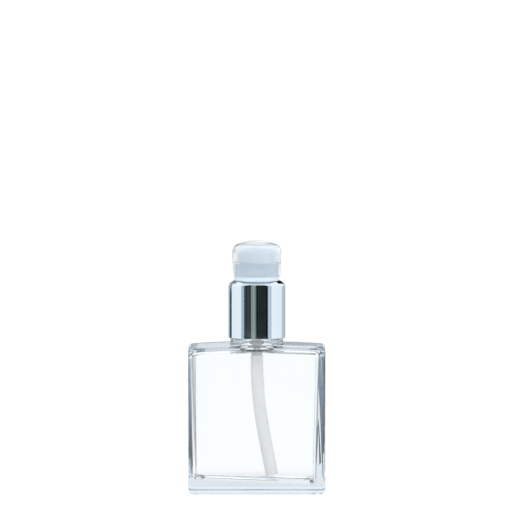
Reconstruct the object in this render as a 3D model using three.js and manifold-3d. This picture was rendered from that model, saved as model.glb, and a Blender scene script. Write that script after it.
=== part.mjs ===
// Flat-sided glass aftershave bottle with a treatment pump, a chromed collar and a domed overcap.
// Millimetres, +Z up, front towards -Y. The origin is the middle of the bottle's base.
import * as THREE from 'three';
import { mergeVertices } from 'three/addons/utils/BufferGeometryUtils.js';
import Module from 'manifold-3d';

const wasm = await Module();
wasm.setup();

// ---- Driving dimensions ----

// Bottle body: outside, walls and rounding
const bodyWidth = 57.8;
const bodyDepth = 28;
const bodyHeight = 62; // at the corners
const shoulderRise = 1; // from the corners to the neck
const bottomCornerRadius = 1.9;
const topCornerRadius = 1.4;
const edgeRounding = 1.2;
const uprightRounding = 3; // of the four upright edges
const leftWall = 2.1;
const rightWallTop = 2.1; // the glass runs thicker towards the foot of this side
const rightWallBottom = 3.9;
const faceWall = 2.8; // front and back
const ceilingWall = 2;
const floorThickness = 6.4;
const cavityCornerRadius = 2.6;
const cavityEdgeRounding = 1.6;
const standingRim = 5; // flat width of the foot round the push-up
const pushUpDepth = 0.6;

// Neck finish
const threadRadius = 9.8; // over the thread
const threadDepth = 1.1;
const threadPitch = 3.175;
const threadTurns = 1.5;
const threadRootWidth = 1.7;
const threadCrestWidth = 0.9;
const threadTopSetback = 1.6; // from the rim down to the thread
const neckWall = 1.7;
const neckRootWidth = 1.4; // the transfer ring stands out past the thread by this
const neckRootHeight = 2.2;
const finishHeight = 13; // from the transfer ring to the rim
const flareRadius = 1; // where the bore opens into the body

// Gasket and closure
const gasketThickness = 1;
const gasketMargin = 0.4; // inside the thread's root
const threadClearance = 0.25; // radial, closure to glass
const skirtWall = 1.25;
const deckThickness = 1.8;
const ribCount = 24;
const ribHeight = 0.12;
const ribWidth = 0.5;
const chimneyHeight = 14.8; // above the deck
const chimneyWall = 1;

// Collar shell
const shellClearance = 0.2;
const shellWall = 0.5;
const shellHeight = 24.4;
const shellGap = 0.2; // above the neck's transfer ring
const shellShoulderWidth = 2.3;
const shellShoulderHeight = 1.7;
const shellShoulderRounding = 1.3;
const skirtSetback = 0.5; // the skirt ends above the shell's lower edge by this

// Hood
const hoodClearance = 0.15;
const hoodSkirtWall = 0.5;
const hoodWall = 1.1;
const hoodStep = 0.25; // the upper wall stands out past the skirt by this
const hoodGap = 1.8; // from the shell's top to the hood's lower edge
const hoodHeadroom = 1.4; // above the button
const hoodCrownRatio = 2.4; // crown radius to the hood's radius
const hoodShoulderRadius = 4;

// Button and nozzle
const buttonClearance = 0.35;
const buttonRise = 7; // above the chimney
const buttonSkirt = 6; // below the chimney's rim
const buttonWall = 1;
const buttonCrownRatio = 2.2; // crown radius to the button's radius
const buttonEdgeRadius = 1.2;
const buttonTopThickness = 2.8; // at the middle of the crown
const socketRadius = 3.4;
const socketDrop = 1.2; // the socket's mouth is above the button's lower edge by this
const channelRadius = 0.9;
const nozzleDrop = 0.19; // from the top of the button's edge rounding to the nozzle's axis
const nozzleBossRadius = 1.45;
const nozzleBossSetback = 0.25; // inside the button's radius
const nozzleRadius = 1.1;
const nozzleLength = 4;
const nozzleStandOut = 0.3;
const orificeRadius = 0.45;
const nozzlePocketClearance = 0.05;

// Pump housing
const flangeThickness = 1.2;
const flangeMargin = 0.35; // inside the closure's skirt
const barrelGap = 1.4; // to the glass bore
const barrelWall = 1.1;
const barrelDepth = 14.4; // from the flange's top to the spring's seat
const ventRadius = 0.4;
const ventDrop = 5.2; // from the flange's top
const ballRadius = 1.5;
const ballGap = 0.02; // between the ball and its seat
const ballRoom = 0.7; // round the ball in its chamber
const nibCover = 0.4; // the three ball stops reach over the ball by this
const throatCover = 0.6; // the throat is smaller than the ball by this
const chamberWall = 1;
const chamberDepth = 2.8; // from the spring's seat to the top of the ball's seat
const tailRadius = 2.2;
const tailBore = 1.2;
const tailLength = 7.8; // from the spring's seat to the tube's end
const spigotLength = 5.7;

// Stem, piston, spring and ball
const retainerLedge = 1.7; // the flange stands out past the barrel's bore by this
const retainerThickness = 1;
const retainerPlug = 2.1;
const retainerHoleClearance = 0.3; // to the closure's deck
const slideClearance = 0.06; // radial, between sliding round parts
const stemRadius = 2;
const stemBore = 1.1;
const stemCover = 5.5; // from the stem's top to the button's crown
const stemFlangeMargin = 1.1; // inside the barrel's bore
const stemFlangeThickness = 0.9;
const stemStopGap = 0.2; // below the retainer at rest
const stemPortRadius = 0.45;
const pistonHeight = 2.8;
const pistonLip = 0.7; // thickness of the sealing lips at their root
const footMargin = 0.5; // inside the barrel's bore
const footThickness = 0.9;
const shankWidth = 1.4;
const shankLength = 4;
const springWire = 0.6;
const springGap = 0.6; // from the coil to the barrel
const springTurns = 4.5;

// Dip tube
const tubeRadius = 2.6;
const tubeBore = 2.05;
const spigotClearance = 0.1;
const tubeEndGap = 0.9; // above the floor
const tubeEndOffset = 6.4; // to the right at the foot
const tubeTopReach = 22; // how far the straight start pulls the curve down
const tubeFootReach = 17; // how far the slanted foot pulls it up
const tubeFootSlope = 0.19;

// ---- Places worked out from them ----

const shoulderTop = bodyHeight + shoulderRise;
const neckRootTop = shoulderTop + neckRootHeight;
const neckRim = neckRootTop + finishHeight;
const gasketTop = neckRim + gasketThickness;
const flangeTop = gasketTop + flangeThickness;
const deckTop = flangeTop + deckThickness;
const chimneyTop = deckTop + chimneyHeight;
const shellBottom = neckRootTop + shellGap;
const shellTop = shellBottom + shellHeight;
const skirtBottom = shellBottom + skirtSetback;

const threadRoot = threadRadius - threadDepth;
const boreRadius = threadRoot - neckWall;
const neckRootRadius = threadRadius + neckRootWidth;
const closureRoot = threadRadius + threadClearance;
const skirtRadius = closureRoot + skirtWall;
const shellInner = skirtRadius + shellClearance;
const shellRadius = shellInner + shellWall;
const chimneyRadius = shellRadius - shellShoulderWidth - shellClearance;
const chimneyInner = chimneyRadius - chimneyWall;
const threadTop = neckRim - threadTopSetback;

const hoodSkirtInner = chimneyRadius + hoodClearance;
const hoodSkirtRadius = hoodSkirtInner + hoodSkirtWall;
const hoodRadius = hoodSkirtRadius + hoodStep;
const hoodCrownRadius = hoodRadius * hoodCrownRatio;

const buttonRadius = chimneyInner - buttonClearance;
const buttonCrownRadius = buttonRadius * buttonCrownRatio;
const buttonTop = chimneyTop + buttonRise;
const buttonBottom = chimneyTop - buttonSkirt;
const hoodTop = buttonTop + hoodHeadroom + hoodWall;
const hoodBottom = shellTop + hoodGap;
const buttonShoulder = buttonTop - buttonCrownRadius + buttonEdgeRadius
  + Math.sqrt((buttonCrownRadius - buttonEdgeRadius) ** 2 - (buttonRadius - buttonEdgeRadius) ** 2);
const nozzleHeight = buttonShoulder - nozzleDrop;
const nozzleBossFront = buttonRadius - nozzleBossSetback;
const nozzleFront = nozzleBossFront + nozzleStandOut;

const flangeRadius = closureRoot - flangeMargin;
const barrelRadius = boreRadius - barrelGap;
const barrelBore = barrelRadius - barrelWall;
const springSeat = flangeTop - barrelDepth;
const ballSeatTop = springSeat - chamberDepth;
const tubeTop = springSeat - tailLength;
const spigotRadius = tubeBore - spigotClearance;
const chamberRadius = ballRadius + ballRoom;
const nibReach = ballRadius - nibCover;
const throatRadius = ballRadius - throatCover;

const retainerBottom = flangeTop - retainerPlug;
const retainerFlange = barrelBore + retainerLedge;
const stemFlangeRadius = barrelBore - stemFlangeMargin;
const footRadius = barrelBore - footMargin;
const stemTop = buttonTop - stemCover;
const stemFlangeTop = retainerBottom - stemStopGap;
const pistonTop = stemFlangeTop - stemFlangeThickness;
const footTop = pistonTop - pistonHeight;
const footBottom = footTop - footThickness;
const springRadius = barrelBore - springGap - springWire / 2;

// The ball sits in a 45 degree cone that starts at the throat.
const coneHeight = chamberRadius - throatRadius;
const coneApex = ballSeatTop - coneHeight - throatRadius;
const ballHeight = coneApex + (ballRadius + ballGap) * Math.SQRT2;

// ---- Solid modelling ----

const OUTER_SIDES = 40;
const INNER_SIDES = 24;
const TUBE_SIDES = 16;
const WIRE_SIDES = 8;
const ARC_STEPS = 4;
const CROWN_STEPS = 5;
const OVERRUN = 1; // cutters run past a face by this

// A closed mesh as a solid: shared vertices merged, and the empty triangles at a pole left out.
function solid(geometry) {
  const bare = geometry.clone();
  bare.deleteAttribute('normal');
  bare.deleteAttribute('uv');
  const merged = mergeVertices(bare, 1e-4);
  const corners = merged.index.array;
  const kept = [];
  for (let i = 0; i < corners.length; i += 3) {
    const [a, b, c] = corners.slice(i, i + 3);
    if (a !== b && b !== c && c !== a) kept.push(a, b, c);
  }
  return new wasm.Manifold(new wasm.Mesh({
    numProp: 3,
    vertProperties: merged.attributes.position.array,
    triVerts: new Uint32Array(kept),
  }));
}

function geometryOf(body) {
  const mesh = body.getMesh();
  const geometry = new THREE.BufferGeometry();
  geometry.setAttribute('position', new THREE.BufferAttribute(mesh.vertProperties, 3));
  geometry.setIndex(new THREE.BufferAttribute(mesh.triVerts, 1));
  return geometry;
}

// Turns a profile of [radius, height] points about Z. It runs up the outside, anticlockwise.
function turned(profile, sides = OUTER_SIDES) {
  const points = profile.map(([radius, height]) => new THREE.Vector2(radius, height));
  return solid(new THREE.LatheGeometry(points, sides).rotateX(Math.PI / 2));
}

// A ring between two radii and two heights.
function ring(inner, outer, bottom, top, sides = OUTER_SIDES) {
  return turned([[inner, bottom], [outer, bottom], [outer, top], [inner, top], [inner, bottom]], sides);
}

function rod(radius, bottom, top, sides = INNER_SIDES) {
  return turned([[0, bottom], [radius, bottom], [radius, top], [0, top]], sides);
}

// Points on an arc in a profile, between two angles in degrees from the outward direction.
function arc(radius, height, size, from, to, steps = ARC_STEPS) {
  return Array.from({ length: steps + 1 }, (_, i) => {
    const angle = THREE.MathUtils.degToRad(from + ((to - from) * i) / steps);
    return [radius + size * Math.cos(angle), height + size * Math.sin(angle)];
  });
}

// A shallow crown that runs into an upright wall through a round shoulder, from the wall to the axis.
function domeProfile(wallRadius, apex, crownRadius, shoulderRadius) {
  const crownCentre = apex - crownRadius;
  const shoulderAt = wallRadius - shoulderRadius;
  const lift = Math.sqrt((crownRadius - shoulderRadius) ** 2 - shoulderAt ** 2);
  const meet = THREE.MathUtils.radToDeg(Math.atan2(lift, shoulderAt));
  return [
    ...arc(shoulderAt, crownCentre + lift, shoulderRadius, 0, meet),
    ...arc(0, crownCentre, crownRadius, meet, 90, CROWN_STEPS).slice(1, -1),
    [0, apex],
  ];
}

// A ridge that climbs round Z as a right-hand thread. Its section has a wide root and a narrow crest,
// and both ends run out to nothing.
function threadRidge(root, crest, rootWidth, crestWidth, topHeight, turns, startAngle) {
  const section = new THREE.Shape([
    new THREE.Vector2(root, -rootWidth / 2),
    new THREE.Vector2(crest, -crestWidth / 2),
    new THREE.Vector2(crest, crestWidth / 2),
    new THREE.Vector2(root, rootWidth / 2),
  ]);
  const sweep = turns * 2 * Math.PI;
  const steps = Math.round(turns * OUTER_SIDES);
  const runOut = Math.PI / 4;
  const bar = new THREE.ExtrudeGeometry(section, { depth: sweep, steps, bevelEnabled: false });
  const places = bar.attributes.position;
  for (let i = 0; i < places.count; i += 1) {
    const along = places.getZ(i);
    const fade = Math.min(1, 0.15 + Math.min(along, sweep - along) / runOut);
    const radius = root + (places.getX(i) - root) * fade;
    const height = topHeight - rootWidth / 2 + places.getY(i) - (threadPitch * along) / (2 * Math.PI);
    const angle = startAngle - along;
    places.setXYZ(i, radius * Math.cos(angle), radius * Math.sin(angle), height);
  }
  return solid(bar);
}

// An upright outline in X and Z, extruded along Y to the full depth with rounded front and back edges.
function slab(outline, depth, rounding) {
  const core = depth - 2 * rounding;
  const geometry = new THREE.ExtrudeGeometry(outline, {
    depth: core,
    bevelEnabled: true,
    bevelThickness: rounding,
    bevelSize: rounding,
    bevelOffset: -rounding,
    bevelSegments: 4,
    curveSegments: ARC_STEPS,
  });
  return solid(geometry.translate(0, 0, -core / 2).rotateX(Math.PI / 2));
}

// An upright outline with round corners and a top that rises in a shallow curve to the middle.
function crownedOutline(left, right, rightTop, bottom, corner, rise, bottomRadius, topRadius) {
  const shape = new THREE.Shape();
  const [low, high] = [bottom + bottomRadius, corner - topRadius];
  const quarter = Math.PI / 2;
  shape.absarc(left + bottomRadius, low, bottomRadius, 2 * quarter, 3 * quarter);
  shape.absarc(right - bottomRadius, low, bottomRadius, 3 * quarter, 4 * quarter);
  shape.absarc(rightTop - topRadius, high, topRadius, 0, quarter);
  shape.quadraticCurveTo(0, corner + 2 * rise, left + topRadius, corner);
  shape.absarc(left + topRadius, high, topRadius, quarter, 2 * quarter);
  return shape;
}

// ---- Pieces ----

function bottleGlass() {
  const half = bodyWidth / 2;
  const outside = slab(
    crownedOutline(-half, half, half, 0, bodyHeight, shoulderRise, bottomCornerRadius, topCornerRadius),
    bodyDepth, edgeRounding,
  );
  const upright = new THREE.ExtrudeGeometry(roundedPlan(bodyWidth, bodyDepth, uprightRounding), {
    depth: bodyHeight + shoulderRise + 2 * OVERRUN, bevelEnabled: false, curveSegments: ARC_STEPS,
  });
  const body = outside.intersect(solid(upright.translate(0, 0, -OVERRUN)));
  const ceiling = bodyHeight - ceilingWall;
  const cavity = slab(
    crownedOutline(-half + leftWall, half - rightWallBottom, half - rightWallTop, floorThickness,
      ceiling, shoulderRise, cavityCornerRadius, cavityCornerRadius),
    bodyDepth - 2 * faceWall, cavityEdgeRounding,
  );
  const flareTop = ceiling + flareRadius;
  const bore = turned([
    [0, ceiling - OVERRUN], [boreRadius + flareRadius, ceiling - OVERRUN],
    ...arc(boreRadius + flareRadius, flareTop, flareRadius, -90, -180),
    [boreRadius, neckRim + OVERRUN], [0, neckRim + OVERRUN],
  ]);
  const neck = turned([
    [0, ceiling + OVERRUN], [neckRootRadius, ceiling + OVERRUN],
    ...arc(neckRootRadius - 0.6, neckRootTop - 0.6, 0.6, 0, 90, 3),
    [threadRoot, neckRootTop], ...arc(threadRoot - 0.5, neckRim - 0.5, 0.5, 0, 90, 3), [0, neckRim],
  ]);
  const thread = threadRidge(threadRoot - 0.3, threadRadius, threadRootWidth, threadCrestWidth,
    threadTop, threadTurns, 0);
  return body.add(neck).add(thread).subtract(cavity).subtract(bore).subtract(pushUp());
}

// A rectangle with round corners, seen from above.
function roundedPlan(width, depth, corner) {
  const shape = new THREE.Shape();
  const [x, y] = [width / 2 - corner, depth / 2 - corner];
  shape.absarc(x, y, corner, 0, Math.PI / 2);
  shape.absarc(-x, y, corner, Math.PI / 2, Math.PI);
  shape.absarc(-x, -y, corner, Math.PI, 1.5 * Math.PI);
  shape.absarc(x, -y, corner, 1.5 * Math.PI, 2 * Math.PI);
  return shape;
}

// The shallow recess under the bottle, which leaves a flat rim to stand on.
function pushUp() {
  const width = bodyWidth - 2 * standingRim;
  const depth = bodyDepth - 2 * standingRim;
  const shape = roundedPlan(width, depth, depth / 4);
  const slope = { bevelThickness: pushUpDepth, bevelSize: 2 * pushUpDepth, bevelOffset: -2 * pushUpDepth };
  const geometry = new THREE.ExtrudeGeometry(shape, {
    depth: OVERRUN, curveSegments: ARC_STEPS, bevelSegments: 3, ...slope,
  });
  return solid(geometry.translate(0, 0, -OVERRUN));
}

function collarShell() {
  const hole = shellRadius - shellShoulderWidth;
  const shoulder = shellTop - shellShoulderHeight;
  const slope = Math.atan2(shellShoulderHeight, shellRadius - hole);
  const turn = 90 - THREE.MathUtils.radToDeg(slope);
  const drop = shellShoulderRounding * Math.tan((Math.PI / 2 - slope) / 2);
  const centre = [shellRadius - shellShoulderRounding, shoulder - drop];
  const inset = shellWall / Math.cos(slope);
  return turned([
    [shellInner, shellBottom], [shellRadius, shellBottom],
    ...arc(...centre, shellShoulderRounding, 0, turn, 4),
    [hole, shellTop], [hole, shellTop - inset],
    [shellInner, shoulder - inset + (shellWall * shellShoulderHeight) / (shellRadius - hole)],
    [shellInner, shellBottom],
  ]);
}

function screwClosure() {
  const deckHole = retainerFlange + retainerHoleClearance;
  const cap = turned([
    [closureRoot, skirtBottom], [skirtRadius, skirtBottom],
    ...arc(skirtRadius - 0.5, deckTop - 0.5, 0.5, 0, 90, 3),
    [chimneyRadius, deckTop], [chimneyRadius, chimneyTop - 0.3], [chimneyRadius - 0.3, chimneyTop],
    [chimneyInner, chimneyTop], [chimneyInner, deckTop], [deckHole, deckTop], [deckHole, flangeTop],
    [closureRoot, flangeTop], [closureRoot, skirtBottom],
  ]);
  // Half a pitch below the glass thread, so that the two run in each other's grooves.
  const thread = threadRidge(closureRoot + 0.3, threadRoot + threadClearance, threadRootWidth - 0.2,
    threadCrestWidth - 0.1, threadTop - threadPitch / 2, threadTurns, 0);
  let closure = cap.add(thread);
  for (let i = 0; i < ribCount; i += 1) {
    const rib = new THREE.BoxGeometry(ribHeight + 0.4, ribWidth, deckTop - skirtBottom - 2);
    rib.translate(skirtRadius - 0.2 + ribHeight / 2, 0, (deckTop + skirtBottom) / 2);
    closure = closure.add(solid(rib.rotateZ((i * 2 * Math.PI) / ribCount)));
  }
  return closure;
}

function neckGasket() {
  return ring(boreRadius, threadRoot - gasketMargin, neckRim, gasketTop);
}

function pumpHousing() {
  const chamberOuter = chamberRadius + chamberWall;
  const body = turned([
    [throatRadius, ballSeatTop - coneHeight], [throatRadius, ballSeatTop - coneHeight - 0.5],
    [tailBore, ballSeatTop - coneHeight - 0.9], [tailBore, tubeTop - spigotLength],
    [spigotRadius - 0.2, tubeTop - spigotLength], [spigotRadius, tubeTop - spigotLength + 0.5],
    [spigotRadius, tubeTop], [tailRadius, tubeTop], [tailRadius, ballSeatTop - coneHeight - 0.9],
    [chamberOuter, ballSeatTop], [chamberOuter, springSeat - chamberWall - 0.6],
    [barrelRadius, springSeat - chamberWall + 0.6], [barrelRadius, gasketTop],
    [flangeRadius, gasketTop], [flangeRadius, flangeTop], [barrelBore, flangeTop],
    [barrelBore, springSeat], [chamberRadius, springSeat], [chamberRadius, ballSeatTop],
    [throatRadius, ballSeatTop - coneHeight],
  ], INNER_SIDES);
  let housing = body;
  for (let i = 0; i < 3; i += 1) {
    const nib = new THREE.BoxGeometry(chamberRadius - nibReach + 0.3, 0.8, 0.6);
    nib.translate((chamberRadius + nibReach + 0.3) / 2, 0, springSeat - 0.3);
    housing = housing.add(solid(nib.rotateZ((i * 2 * Math.PI) / 3)));
  }
  const vent = new THREE.CylinderGeometry(ventRadius, ventRadius, 2 * barrelWall + 1, 12);
  vent.rotateZ(Math.PI / 2).translate(-barrelRadius, 0, flangeTop - ventDrop);
  return housing.subtract(solid(vent));
}

function stemRetainer() {
  const hole = stemRadius + slideClearance;
  const plug = barrelBore - slideClearance;
  const top = flangeTop + retainerThickness;
  return turned([
    [hole, retainerBottom], [plug - 0.3, retainerBottom], [plug, retainerBottom + 0.4], [plug, flangeTop],
    [retainerFlange, flangeTop], [retainerFlange, top - 0.2], [retainerFlange - 0.2, top], [hole, top],
    [hole, retainerBottom],
  ], INNER_SIDES);
}

function pumpStem() {
  const tube = turned([
    [stemBore, footTop], [stemRadius, footTop], [stemRadius, pistonTop], [stemFlangeRadius, pistonTop],
    [stemFlangeRadius, stemFlangeTop], [stemRadius, stemFlangeTop], [stemRadius, stemTop - 0.3],
    [stemRadius - 0.3, stemTop], [stemBore, stemTop], [stemBore, footTop],
  ], INNER_SIDES);
  const port = new THREE.CylinderGeometry(stemPortRadius, stemPortRadius, 3 * stemRadius, 12);
  port.rotateZ(Math.PI / 2).translate(0, 0, footTop + pistonHeight / 2);
  return tube.subtract(solid(port));
}

// The round foot closes the stem from below; its square shank leaves channels in the stem's bore.
function stemPlug() {
  const foot = rod(footRadius, footBottom, footTop);
  const shank = new THREE.BoxGeometry(shankWidth, shankWidth, shankLength + footThickness);
  return foot.add(solid(shank.translate(0, 0, footBottom + (shankLength + footThickness) / 2)));
}

function pistonSeal() {
  const bore = stemRadius + slideClearance;
  const lip = barrelBore - slideClearance;
  const web = lip - pistonLip;
  const mid = (footTop + pistonTop) / 2;
  return turned([
    [bore, footTop], [web - 0.5, footTop], [web, mid - 0.5], [lip - 0.3, footTop - 0.3], [lip, footTop],
    [lip - 0.2, mid], [lip, pistonTop], [lip - 0.3, pistonTop + 0.3], [web, mid + 0.5],
    [web - 0.5, pistonTop], [bore, pistonTop], [bore, footTop],
  ], INNER_SIDES);
}

// A coil with a closed turn at each end, between the housing's seat and the stem's foot.
class Coil extends THREE.Curve {
  getPoint(t, target = new THREE.Vector3()) {
    const turn = t * springTurns * 2 * Math.PI;
    const dead = 0.75 / springTurns; // share of the length in each end turn
    const climb = THREE.MathUtils.clamp((t - dead) / (1 - 2 * dead), 0, 1);
    const bottom = springSeat + springWire / 2;
    const travel = footBottom - springSeat - springWire;
    const endRise = springWire * 1.1 * 0.75;
    const ends = (Math.min(t / dead, 1) + Math.max((t - 1 + dead) / dead, 0)) * endRise;
    const height = bottom + ends + climb * (travel - 2 * endRise);
    return target.set(springRadius * Math.cos(turn), springRadius * Math.sin(turn), height);
  }
}

function returnSpring() {
  const wire = new THREE.Shape().absarc(0, 0, springWire / 2, 0, 2 * Math.PI);
  return solid(new THREE.ExtrudeGeometry(wire, {
    extrudePath: new Coil(), steps: Math.round(springTurns * 16), curveSegments: WIRE_SIDES / 2,
    bevelEnabled: false,
  }));
}

function inletBall() {
  const ball = new THREE.SphereGeometry(ballRadius, 16, 10).rotateX(Math.PI / 2);
  return solid(ball.translate(0, 0, ballHeight));
}

// The tube starts upright on the housing's tail and bends to the right towards the floor.
function dipTube() {
  const end = floorThickness + tubeEndGap;
  const path = new THREE.CubicBezierCurve3(
    new THREE.Vector3(0, 0, tubeTop),
    new THREE.Vector3(0, 0, tubeTop - tubeTopReach),
    new THREE.Vector3(tubeEndOffset - tubeFootSlope * tubeFootReach, 0, end + tubeFootReach),
    new THREE.Vector3(tubeEndOffset, 0, end),
  );
  const section = new THREE.Shape().absarc(0, 0, tubeRadius, 0, 2 * Math.PI);
  section.holes.push(new THREE.Path().absarc(0, 0, tubeBore, 0, 2 * Math.PI, true));
  return solid(new THREE.ExtrudeGeometry(section, {
    extrudePath: path, steps: 18, curveSegments: TUBE_SIDES / 2, bevelEnabled: false,
  }));
}

function actuatorButton() {
  const hollowTop = buttonTop - buttonTopThickness;
  const socketBottom = buttonBottom + socketDrop;
  const outside = turned([
    [0, buttonBottom], [buttonRadius - 0.2, buttonBottom], [buttonRadius, buttonBottom + 0.2],
    ...domeProfile(buttonRadius, buttonTop, buttonCrownRadius, buttonEdgeRadius),
  ]);
  const boss = rod(nozzleBossRadius, 0, nozzleBossFront);
  const pocket = rod(nozzleRadius + nozzlePocketClearance, nozzleFront - nozzleLength,
    nozzleBossFront + OVERRUN);
  const channel = rod(channelRadius, 0, nozzleFront - nozzleLength + OVERRUN);
  const hollow = ring(socketRadius, buttonRadius - buttonWall, buttonBottom - OVERRUN, hollowTop);
  const socketMouth = rod(socketRadius + OVERRUN, buttonBottom - OVERRUN, socketBottom);
  const socket = rod(stemRadius + slideClearance, buttonBottom - OVERRUN, stemTop);
  const riser = rod(channelRadius, stemTop - OVERRUN, nozzleHeight);
  return outside.add(facingFront(boss)).subtract(hollow).subtract(socketMouth).subtract(socket)
    .subtract(riser).subtract(facingFront(channel)).subtract(facingFront(pocket));
}

// Lays a piece that was turned about Z along -Y, at the nozzle's height.
function facingFront(piece) {
  const geometry = geometryOf(piece);
  return solid(geometry.rotateX(Math.PI / 2).translate(0, 0, nozzleHeight));
}

function nozzleInsert() {
  const back = nozzleFront - nozzleLength;
  return facingFront(turned([
    [channelRadius - 0.1, back], [nozzleRadius, back], [nozzleRadius, nozzleFront - 0.15],
    [nozzleRadius - 0.15, nozzleFront], [orificeRadius, nozzleFront], [orificeRadius, nozzleFront - 0.8],
    [channelRadius - 0.1, nozzleFront - 1.2], [channelRadius - 0.1, back],
  ], 32));
}

// The hood's thin skirt slides over the chimney, and its inner step stops on the chimney's rim.
function overcapHood() {
  const stepTop = chimneyTop + 0.2;
  const wallInner = hoodRadius - hoodWall;
  const inside = domeProfile(wallInner, hoodTop - hoodWall, hoodCrownRadius - hoodWall,
    hoodShoulderRadius - hoodWall);
  return turned([
    [0, hoodTop - hoodWall], ...inside.slice(0, -1).reverse(), [wallInner, chimneyTop],
    [hoodSkirtInner, chimneyTop], [hoodSkirtInner, hoodBottom + 0.2], [hoodSkirtInner + 0.15, hoodBottom],
    [hoodSkirtRadius - 0.15, hoodBottom], [hoodSkirtRadius, hoodBottom + 0.15],
    [hoodSkirtRadius, stepTop - hoodStep], [hoodRadius, stepTop],
    ...domeProfile(hoodRadius, hoodTop, hoodCrownRadius, hoodShoulderRadius),
  ]);
}

// ---- Assembly ----

const finishes = {
  glass: { color: 0xeef5f8, roughness: 0.02, metalness: 0, transparent: true, opacity: 0.35 },
  chrome: { color: 0xc9d3da, roughness: 0.05, metalness: 1 },
  whitePlastic: { color: 0xeef1f2, roughness: 0.4, metalness: 0 },
  naturalPlastic: { color: 0xdfe6ea, roughness: 0.35, metalness: 0, transparent: true, opacity: 0.6 },
  gasket: { color: 0xd8dde0, roughness: 0.7, metalness: 0 },
  steel: { color: 0xb4b8ba, roughness: 0.25, metalness: 1 },
};

const pieces = [
  ['glass_bottle', bottleGlass, 'glass'],
  ['neck_gasket', neckGasket, 'gasket'],
  ['pump_housing', pumpHousing, 'naturalPlastic'],
  ['stem_retainer', stemRetainer, 'whitePlastic'],
  ['pump_stem', pumpStem, 'whitePlastic'],
  ['stem_plug', stemPlug, 'whitePlastic'],
  ['piston_seal', pistonSeal, 'naturalPlastic'],
  ['return_spring', returnSpring, 'steel'],
  ['inlet_ball', inletBall, 'steel'],
  ['dip_tube', dipTube, 'naturalPlastic'],
  ['screw_closure', screwClosure, 'whitePlastic'],
  ['collar_shell', collarShell, 'chrome'],
  ['actuator_button', actuatorButton, 'whitePlastic'],
  ['nozzle_insert', nozzleInsert, 'whitePlastic'],
  ['overcap_hood', overcapHood, 'naturalPlastic'],
];

const bottle = new THREE.Group();
for (const [name, make, finish] of pieces) {
  const geometry = geometryOf(make());
  geometry.computeVertexNormals();
  const mesh = new THREE.Mesh(geometry, new THREE.MeshStandardMaterial(finishes[finish]));
  mesh.name = name;
  bottle.add(mesh);
}

export default bottle;
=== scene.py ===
"""Looks of a flat-sided glass aftershave bottle with a treatment pump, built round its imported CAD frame."""

import math

import bmesh
import bpy
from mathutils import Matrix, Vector


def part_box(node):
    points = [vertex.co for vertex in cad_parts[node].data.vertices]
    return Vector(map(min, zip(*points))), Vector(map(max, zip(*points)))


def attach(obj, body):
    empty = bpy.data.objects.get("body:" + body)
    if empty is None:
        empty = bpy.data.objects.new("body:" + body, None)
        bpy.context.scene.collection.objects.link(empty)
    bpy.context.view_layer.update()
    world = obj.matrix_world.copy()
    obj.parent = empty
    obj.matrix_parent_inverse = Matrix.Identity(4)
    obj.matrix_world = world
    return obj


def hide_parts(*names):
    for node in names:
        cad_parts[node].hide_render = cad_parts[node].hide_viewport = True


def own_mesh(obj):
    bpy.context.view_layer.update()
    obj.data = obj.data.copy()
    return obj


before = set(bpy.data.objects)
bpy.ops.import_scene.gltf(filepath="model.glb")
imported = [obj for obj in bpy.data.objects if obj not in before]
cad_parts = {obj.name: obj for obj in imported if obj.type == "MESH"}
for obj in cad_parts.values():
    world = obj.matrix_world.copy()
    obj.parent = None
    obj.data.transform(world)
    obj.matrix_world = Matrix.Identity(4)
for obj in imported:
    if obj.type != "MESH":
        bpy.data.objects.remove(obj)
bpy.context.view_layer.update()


# ---- Glass bottle ----
# Clear soda-lime glass, blown in a mould and fire polished: a thick square block with a softly rounded
# hollow, a transfer ring and a threaded neck. It stands on a flat rim round a shallow push-up.
mm = 0.001
glass_low, glass_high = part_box("glass_bottle")
shell_low, shell_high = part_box("collar_shell")
half_width = glass_high.x / mm
half_depth = glass_high.y / mm
neck_rim = glass_high.z / mm
ring_top = shell_low.z / mm - 0.2
shoulder = ring_top - 2.2
crown_rise = 1.0
body_corner = shoulder - crown_rise
thread_root, thread_crest, thread_pitch = 8.7, 9.8, 3.175
thread_top = neck_rim - 1.6
bore, flare = 7.0, 1.0
left_wall, right_wall_top, right_wall_foot = 2.1, 2.1, 3.9
upright_edge, foot_edge, rim_edge = 3.0, 1.9, 1.4
hollow_corner = Vector((1.7, 1.6, 2.6))
floor_fall = 3.0
face_wall, ceiling_wall, floor_height = 2.8, 2.0, 6.4
foot_rim, push_up = 5.0, 0.6


def rounded(corners, steps=8):
    """Outline corners in mm as (x, z) or (x, z, radius): a corner with a radius becomes an arc."""
    points = []
    for i, corner in enumerate(corners):
        here = Vector(corner[:2])
        if len(corner) < 3:
            points.append(here)
            continue
        back = (Vector(corners[i - 1][:2]) - here).normalized()
        ahead = (Vector(corners[i + 1][:2]) - here).normalized()
        half_angle = back.angle(ahead) / 2
        middle = (back + ahead).normalized()
        centre = here + middle * (corner[2] / math.sin(half_angle))
        start = here + back * (corner[2] / math.tan(half_angle)) - centre
        sweep = start.angle_signed(here + ahead * (corner[2] / math.tan(half_angle)) - centre)
        for step in range(steps + 1):
            angle = -sweep * step / steps
            turn = Vector((start.x * math.cos(angle) - start.y * math.sin(angle),
                           start.x * math.sin(angle) + start.y * math.cos(angle)))
            points.append(centre + turn)
    return points


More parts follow.
